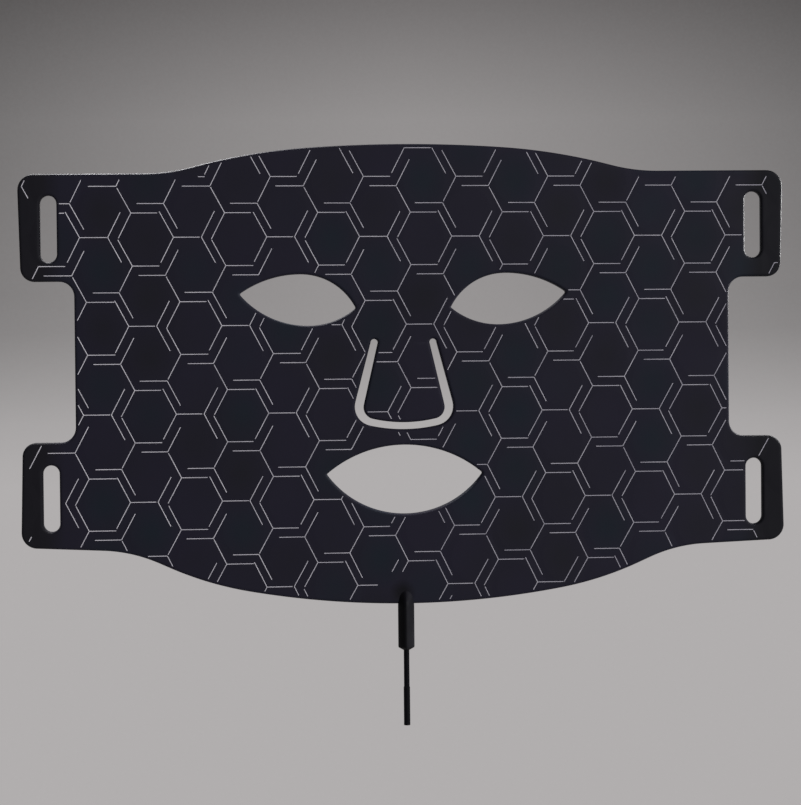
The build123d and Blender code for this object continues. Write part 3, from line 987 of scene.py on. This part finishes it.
class Nodes:
    """Short ways to build a material's node tree."""

    def __init__(self, name, on_skin=False):
        self.material = bpy.data.materials.new(name)
        self.material.use_nodes = True
        self.tree = self.material.node_tree
        self.shader = self.tree.nodes["Principled BSDF"]
        if on_skin:
            source = self.tree.nodes.new("ShaderNodeAttribute")
            source.attribute_name = "rest"
            place = source.outputs["Vector"]
        else:
            place = self.tree.nodes.new("ShaderNodeTexCoord").outputs["Object"]
        self.place = self.vector("SCALE", place, scale=1 / MM)

    def link(self, source, target):
        self.tree.links.new(source, target)

    def put(self, socket, value):
        if isinstance(value, bpy.types.NodeSocket):
            self.link(value, socket)
        elif value is not None:
            socket.default_value = value

    def vector(self, operation, a, b=None, scale=None):
        node = self.tree.nodes.new("ShaderNodeVectorMath")
        node.operation = operation
        self.put(node.inputs[0], a)
        self.put(node.inputs[1], b)
        if scale is not None:
            node.inputs["Scale"].default_value = scale
        return node.outputs["Value"] if operation in ("LENGTH", "DISTANCE") else node.outputs["Vector"]

    def math(self, operation, a, b=None, c=None):
        node = self.tree.nodes.new("ShaderNodeMath")
        node.operation = operation
        for socket, value in zip(node.inputs, (a, b, c)):
            self.put(socket, value)
        return node.outputs[0]

    def coordinate(self, axis):
        """How far along X, Y or Z the surface lies, in millimetres."""
        split = self.tree.nodes.new("ShaderNodeSeparateXYZ")
        self.link(self.place, split.inputs[0])
        return split.outputs[axis]

    def noise(self, size, detail=3.0):
        """Noise whose lumps are about this many millimetres across, from 0 to 1."""
        node = self.tree.nodes.new("ShaderNodeTexNoise")
        node.inputs["Scale"].default_value = 1 / size
        node.inputs["Detail"].default_value = detail
        node.inputs["Roughness"].default_value = 0.55
        self.link(self.place, node.inputs["Vector"])
        return node.outputs["Fac"]

    def patches(self, size, low=0.0, high=1.0):
        """Soft patches about this many millimetres across, for tones."""
        return self.between(self.noise(size), 0.35, 0.65, low, high)

    def gloss(self, size, smooth, dull):
        """A roughness that drifts from smooth to dull over about this many millimetres."""
        return self.between(self.noise(size), 0.3, 0.7, smooth, dull)

    def grain(self, size, strength, relief_mm, normal=None):
        """A fine grain, as bump, over another bump if there is one."""
        return self.bump(self.noise(size, 2.0), strength, relief_mm, normal)

    def between(self, value, low, high, to_low=0.0, to_high=1.0):
        node = self.tree.nodes.new("ShaderNodeMapRange")
        for name, number in (("From Min", low), ("From Max", high), ("To Min", to_low), ("To Max", to_high)):
            node.inputs[name].default_value = number
        self.put(node.inputs["Value"], value)
        return node.outputs["Result"]

    def mix_colour(self, share, a, b):
        node = self.tree.nodes.new("ShaderNodeMix")
        node.data_type = "RGBA"
        self.put(node.inputs[0], share)
        self.put(node.inputs[6], a)
        self.put(node.inputs[7], b)
        return node.outputs[2]

    def bump(self, height, strength, distance_mm, normal=None):
        node = self.tree.nodes.new("ShaderNodeBump")
        node.inputs["Strength"].default_value = strength
        node.inputs["Distance"].default_value = distance_mm * MM
        self.link(height, node.inputs["Height"])
        self.put(node.inputs["Normal"], normal)
        return node.outputs["Normal"]

    def finish(self, colour, roughness, normal=None, **fixed):
        self.put(self.shader.inputs["Base Color"], colour)
        self.put(self.shader.inputs["Roughness"], roughness)
        self.put(self.shader.inputs["Normal"], normal)
        for name, value in fixed.items():
            self.shader.inputs[name.replace("_", " ")].default_value = value
        return self.material


def moulded(name, light, dark, roughness=(0.45, 0.6), lump=6.0, grain=0.25, relief=0.02, **fixed):
    """Rubber or plastic from a mould: two close tones, a fine grain and uneven gloss."""
    nodes = Nodes(name)
    colour = nodes.mix_colour(nodes.patches(lump), dark, light)
    normal = nodes.grain(grain, 0.5, relief)
    return nodes.finish(colour, nodes.gloss(lump / 2, *roughness), normal, **fixed)


def hexagon_tiles(nodes):
    """A number for each hexagonal tile, from 0 to 1, and the distance from the tile's middle in mm."""
    shift = nodes.vector("SUBTRACT", nodes.place, (HEX_FIRST[0], 0.0, HEX_FIRST[1]))
    flat = nodes.vector("MULTIPLY", shift, (1.0, 0.0, 1 / HEX_STRETCH))
    cell = (HEX_PITCH, 1.0, HEX_PITCH / math.sqrt(3))
    half = (HEX_PITCH / 2, 0.0, HEX_PITCH / math.sqrt(3) / 2)
    first = nodes.vector("SNAP", nodes.vector("ADD", flat, half), cell)
    second = nodes.vector("ADD", nodes.vector("SNAP", flat, cell), half)
    to_first = nodes.vector("DISTANCE", flat, first)
    to_second = nodes.vector("DISTANCE", flat, second)
    nearer = nodes.math("GREATER_THAN", to_first, to_second)
    picked = nodes.mix_colour(nearer, first, second)
    whole = nodes.vector("SNAP", nodes.vector("ADD", picked, (0.5, 0.5, 0.5)), (1.0, 1.0, 1.0))
    chance = nodes.tree.nodes.new("ShaderNodeTexWhiteNoise")
    nodes.link(whole, chance.inputs["Vector"])
    return chance.outputs["Value"], nodes.math("MINIMUM", to_first, to_second)


# the painted shade on the tabs comes in between these distances from the middle, in mm
TAB_SHADE_X = (158.0, 167.0)
# middle of the painted shadow on the skin round the top of the boot
BOOT_SHADE_PLACE = (-1.5, FRONT_Y, BOOT_TOP_Z - 2.0)


def front_silicone():
    """Navy black silicone, matt, with tiles of slightly different tone."""
    nodes = Nodes("front_silicone_skin", on_skin=True)
    tile, from_middle = hexagon_tiles(nodes)
    navy, neutral, teal = srgb(27, 25, 39), srgb(22, 22, 29), srgb(19, 28, 38)
    middle = nodes.between(from_middle, 2.0, 14.0, 1.0, 0.0)
    teal_share = nodes.math("MULTIPLY", middle, nodes.between(tile, 0.45, 0.7, 0.0, 0.8))
    dull_share = nodes.math("MULTIPLY", middle, nodes.between(tile, 0.1, 0.25, 0.7, 0.0))
    colour = nodes.mix_colour(teal_share, navy, teal)
    colour = nodes.mix_colour(dull_share, colour, neutral)
    colour = nodes.mix_colour(nodes.patches(45.0, 0.0, 0.35), colour, neutral)
    # painted shade: darker on the tabs, a little more so on the right ones
    across = nodes.coordinate("X")
    tab_shade_share = nodes.between(nodes.math("ABSOLUTE", across), *TAB_SHADE_X, 0.0, 0.85)
    painted_tab_shade = nodes.mix_colour(nodes.between(across, -1.0, 1.0), srgb(18, 17, 22), srgb(13, 13, 18))
    colour = nodes.mix_colour(tab_shade_share, colour, painted_tab_shade)
    # painted shadow, nearly black, round the top of the boot where it goes in
    from_boot = nodes.vector("DISTANCE", nodes.place, BOOT_SHADE_PLACE)
    colour = nodes.mix_colour(nodes.between(from_boot, 2.0, 6.5, 0.8, 0.0), colour, srgb(5, 5, 8))
    # the bands between the tiles look sunk a little below them
    bands = nodes.bump(nodes.between(from_middle, 9.5, 12.3), 0.35, -0.3)
    normal = nodes.grain(0.45, 0.35, 0.02, bands)
    return nodes.finish(colour, nodes.gloss(30.0, 0.64, 0.74), normal, Specular_IOR_Level=0.15)


INK_BRIGHTENING_X = (-170.0, 40.0)


def hexagon_ink():
    """Silvery grey ink, brightest on the left and worn a little in places."""
    nodes = Nodes("hexagon_ink", on_skin=True)
    # the ink is brighter towards the left across the mask
    leftward_brightening = nodes.between(nodes.coordinate("X"), *INK_BRIGHTENING_X, 0.65, 0.0)
    share = nodes.math("ADD", leftward_brightening, nodes.patches(9.0, 0.0, 0.35))
    colour = nodes.mix_colour(share, srgb(150, 148, 160), srgb(216, 214, 222))
    return nodes.finish(colour, nodes.gloss(2.0, 0.35, 0.55), nodes.grain(0.2, 0.4, 0.01))


BOOT_SINKS_Z = (-143.0, -137.5)
# across these x, the boot's painted shade on its left gives way to its lit right side
BOOT_SHADE_X = (-1.2, 1.0)


def boot_rubber():
    """Black rubber with painted shade on its left side, that takes on the tone of the skin where it sinks
    in.
    """
    nodes = Nodes("boot_rubber")
    rubber = nodes.mix_colour(nodes.patches(5.0), srgb(27, 27, 31), srgb(31, 31, 35))
    sunk = nodes.between(nodes.coordinate("Z"), *BOOT_SINKS_Z)
    right = nodes.mix_colour(sunk, rubber, srgb(22, 21, 29))
    # painted shade: nearly black on the boot's left side, lighter towards its right
    lit = nodes.between(nodes.coordinate("X"), *BOOT_SHADE_X)
    colour = nodes.mix_colour(lit, srgb(6, 6, 9), right)
    normal = nodes.grain(0.3, 0.5, 0.02)
    return nodes.finish(colour, nodes.gloss(2.5, 0.5, 0.6), normal, Specular_IOR_Level=0.08)


def back_silicone():
    """Plain dark grey silicone for the side that meets the face."""
    nodes = Nodes("back_silicone_skin", on_skin=True)
    colour = nodes.mix_colour(nodes.patches(40.0), srgb(30, 30, 34), srgb(39, 39, 45))
    normal = nodes.grain(0.5, 0.4, 0.03)
    return nodes.finish(colour, nodes.gloss(20.0, 0.5, 0.68), normal, Specular_IOR_Level=0.35)


def lens_silicone():
    """Clear silicone with a faint haze."""
    nodes = Nodes("clear_lens")
    haze = nodes.between(nodes.noise(1.5), 0.3, 0.7)
    colour = nodes.mix_colour(haze, srgb(236, 238, 240), srgb(222, 226, 230))
    gloss = nodes.between(haze, 0.0, 1.0, 0.06, 0.16)
    normal = nodes.grain(0.8, 0.2, 0.01)
    return nodes.finish(colour, gloss, normal, Transmission_Weight=0.85, IOR=1.41)


def flex_board():
    """Amber film over copper tracks."""
    nodes = Nodes("flex_board_film")
    tracks = nodes.tree.nodes.new("ShaderNodeTexWave")
    tracks.bands_direction = "Z"
    tracks.inputs["Scale"].default_value = 0.35
    tracks.inputs["Distortion"].default_value = 0.4
    nodes.link(nodes.place, tracks.inputs["Vector"])
    track = nodes.between(tracks.outputs["Fac"], 0.42, 0.5)
    film = nodes.mix_colour(nodes.noise(12.0), srgb(176, 118, 42), srgb(148, 92, 30))
    colour = nodes.mix_colour(track, film, srgb(196, 132, 84))
    normal = nodes.bump(track, 0.5, 0.03)
    return nodes.finish(colour, nodes.gloss(5.0, 0.25, 0.4), normal, Coat_Weight=0.3)


def metal(name, light, dark, roughness):
    return moulded(name, light, dark, roughness, lump=1.5, grain=0.15, relief=0.01, Metallic=1.0)


def led_body():
    return moulded("led_body", srgb(238, 236, 226), srgb(226, 214, 150), (0.3, 0.45), 1.4, 0.2)


def resistor_body():
    return moulded("resistor_body", srgb(34, 34, 38), srgb(22, 22, 25), (0.35, 0.5), 1.0, 0.2)


def anchor_nylon():
    return moulded("anchor_nylon", srgb(54, 55, 58), srgb(42, 43, 46))


def insulator_nylon():
    return moulded("insulator_nylon", srgb(232, 230, 224), srgb(214, 212, 204))


def red_insulation():
    return moulded("red_insulation", srgb(168, 30, 26), srgb(140, 22, 20))


def black_insulation():
    return moulded("black_insulation", srgb(26, 26, 28), srgb(18, 18, 20))


def solder_joint():
    return metal("solder_joint", srgb(196, 198, 202), srgb(150, 152, 158), (0.25, 0.45))


def gold_contact():
    return metal("gold_contact", srgb(222, 182, 96), srgb(190, 148, 66), (0.2, 0.35))


def lead_rubber():
    black, deeper = srgb(5, 5, 10), srgb(2, 2, 7)
    return moulded("lead_rubber", black, deeper, (0.5, 0.62), 4.0, 0.2, Specular_IOR_Level=0.08)


def connector_shell():
    black, deeper = srgb(6, 6, 10), srgb(3, 3, 7)
    return moulded("connector_shell", black, deeper, (0.5, 0.62), 3.0, 0.15, Specular_IOR_Level=0.08)


def dress_cad_nodes():
    """A detailed material for every CAD node that stays in view, by a word in its name."""
    materials = {
        "lenses": (lens_silicone(), "lens"),
        "board": (flex_board(), "board"),
        "leds": (led_body(), "led_package"),
        "resistors": (resistor_body(), "resistor"),
        "boot_anchor": (anchor_nylon(), "anchor_plastic"),
        "conductor_red": (red_insulation(), "red_insulation"),
        "conductor_black": (black_insulation(), "black_insulation"),
        "solder": (solder_joint(), "solder"),
        "lead_connector": (connector_shell(), "connector_plastic"),
        "insulator": (insulator_nylon(), "insulator_plastic"),
        "contacts": (gold_contact(), "contact_metal"),
    }
    for name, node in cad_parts.items():
        found = [entry for word, entry in materials.items() if word in name]
        if found and not node.hide_render:
            material, slot_name = found[0]
            node.data.materials.clear()
            node.data.materials.append(material)


# ---- stage and light
# heights in millimetres, and how light the paper looks there, 0 to 255
PAPER_TONES = (
    (-137, 176),
    (-94, 173),
    (-51, 164),
    (3, 151),
    (79, 149),
    (230, 145),
    (295, 130),
    (356, 112),
    (420, 96),
)
PAPER_MIDDLE_X = 62.0
PAPER_MIDDLE_TO_CORNER = 480.0
WALL_Y = 1.3
WALL_TOP_Z = 2.0
FLOOR_Z = -0.62
FLOOR_FRONT_Y = -2.5
STAGE_HALF_WIDTH = 8.0
SWEEP_RADIUS = 0.5
SWEEP_STEPS = 12
WORLD_LIGHT = 0.3
WORLD_LOOK = 1.0


def backdrop_paper():
    """Pale grey paper that glows, as painted light: even below, with painted falloff above eye level and
    painted shade towards the upper corners.
    """
    nodes = Nodes("backdrop_paper")
    height, across = nodes.coordinate("Z"), nodes.coordinate("X")
    ramp = nodes.tree.nodes.new("ShaderNodeValToRGB")
    lowest, highest = PAPER_TONES[0][0], PAPER_TONES[-1][0]
    elements = ramp.color_ramp.elements
    for level, _ in PAPER_TONES[1:-1]:
        elements.new((level - lowest) / (highest - lowest))
    for element, (_, grey) in zip(elements, PAPER_TONES):
        element.color = srgb(grey, grey - 3, grey - 3)
    nodes.link(nodes.between(height, lowest, highest), ramp.inputs["Fac"])
    offset = nodes.math("ABSOLUTE", nodes.math("SUBTRACT", across, PAPER_MIDDLE_X))
    from_middle = nodes.math("POWER", nodes.math("DIVIDE", offset, PAPER_MIDDLE_TO_CORNER), 1.5)
    lower = nodes.between(height, -165.0, 45.0, 0.0, 0.35)
    upper = nodes.between(height, 60.0, 240.0, 0.0, 0.11)
    corner_shade = nodes.math("ADD", lower, upper)
    shade = nodes.math("MULTIPLY", nodes.math("MINIMUM", from_middle, 1.2), corner_shade)
    colour = nodes.mix_colour(shade, ramp.outputs["Color"], srgb(0, 0, 0))
    fibres = nodes.between(nodes.noise(3.0), 0.0, 1.0, 0.0, 0.02)
    grain = nodes.mix_colour(fibres, colour, srgb(255, 255, 255))
    # the paper glows: its tones, with their painted falloff and corner shade, are emitted
    glow = nodes.tree.nodes.new("ShaderNodeEmission")
    nodes.link(grain, glow.inputs["Color"])
    output = nodes.tree.nodes["Material Output"]
    nodes.link(glow.outputs[0], output.inputs["Surface"])
    return nodes.material


def make_stage():
    """A floor that sweeps up into a wall behind the mask."""
    profile = [(FLOOR_FRONT_Y, FLOOR_Z), (WALL_Y - SWEEP_RADIUS, FLOOR_Z)]
    for step in range(1, SWEEP_STEPS):
        angle = math.radians(90) * step / SWEEP_STEPS
        y = WALL_Y - SWEEP_RADIUS + SWEEP_RADIUS * math.sin(angle)
        profile.append((y, FLOOR_Z + SWEEP_RADIUS * (1 - math.cos(angle))))
    profile += [(WALL_Y, FLOOR_Z + SWEEP_RADIUS), (WALL_Y, WALL_TOP_Z)]
    corners = [(side * STAGE_HALF_WIDTH, y, z) for y, z in profile for side in (-1, 1)]
    faces = [(2 * i, 2 * i + 1, 2 * i + 3, 2 * i + 2) for i in range(len(profile) - 1)]
    mesh = bpy.data.meshes.new("sweep")
    mesh.from_pydata(corners, [], faces)
    for face in mesh.polygons:
        face.use_smooth = True
    mesh.materials.append(backdrop_paper())
    put_in_scene("sweep", mesh)


def make_softbox(name, place, aim, width, height, power):
    """An even rectangular light, which the camera doesn't see itself."""
    data = bpy.data.lights.new(name, "AREA")
    data.shape = "RECTANGLE"
    data.size, data.size_y = width, height
    data.energy = power
    light = put_in_scene(name, data)
    light.location = place
    light.visible_camera = False
    light.rotation_mode = "QUATERNION"
    light.rotation_quaternion = (Vector(aim) - Vector(place)).to_track_quat("-Z", "Y")


def make_light():
    """A big key light, two small ones behind the mask for the rims of its upper tabs, and a dim world."""
    world = bpy.data.worlds.new("studio")
    bpy.context.scene.world = world
    world.use_nodes = True
    tree = world.node_tree
    background = tree.nodes["Background"]
    background.inputs["Color"].default_value = srgb(176, 173, 173)
    # past the ends of the paper, the world is seen as pale as the paper, but it lights more weakly
    ray = tree.nodes.new("ShaderNodeLightPath")
    strength = tree.nodes.new("ShaderNodeMapRange")
    strength.inputs["To Min"].default_value = WORLD_LIGHT
    strength.inputs["To Max"].default_value = WORLD_LOOK
    tree.links.new(ray.outputs["Is Camera Ray"], strength.inputs["Value"])
    tree.links.new(strength.outputs["Result"], background.inputs["Strength"])
    make_softbox("key", (2.4, -2.4, 1.2), (0, 0, -0.05), 2.2, 1.8, 110.0)
    make_softbox("left rim", (-0.15, 0.1, 0.2), (-0.14, 0, 0.06), 0.08, 0.08, 1.8)
    make_softbox("right rim", (0.3, 0.1, 0.06), (0.178, 0, 0.03), 0.08, 0.08, 1.2)


# ---- the whole scene
bpy.context.scene.view_settings.view_transform = "Standard"
make_camera()
lead = make_lead(lead_rubber())
boot = make_boot(boot_rubber())
make_front_skins(front_silicone())
make_back_skins(back_silicone())
make_hexagon_print(hexagon_ink())
dress_cad_nodes()
make_stage()
make_light()
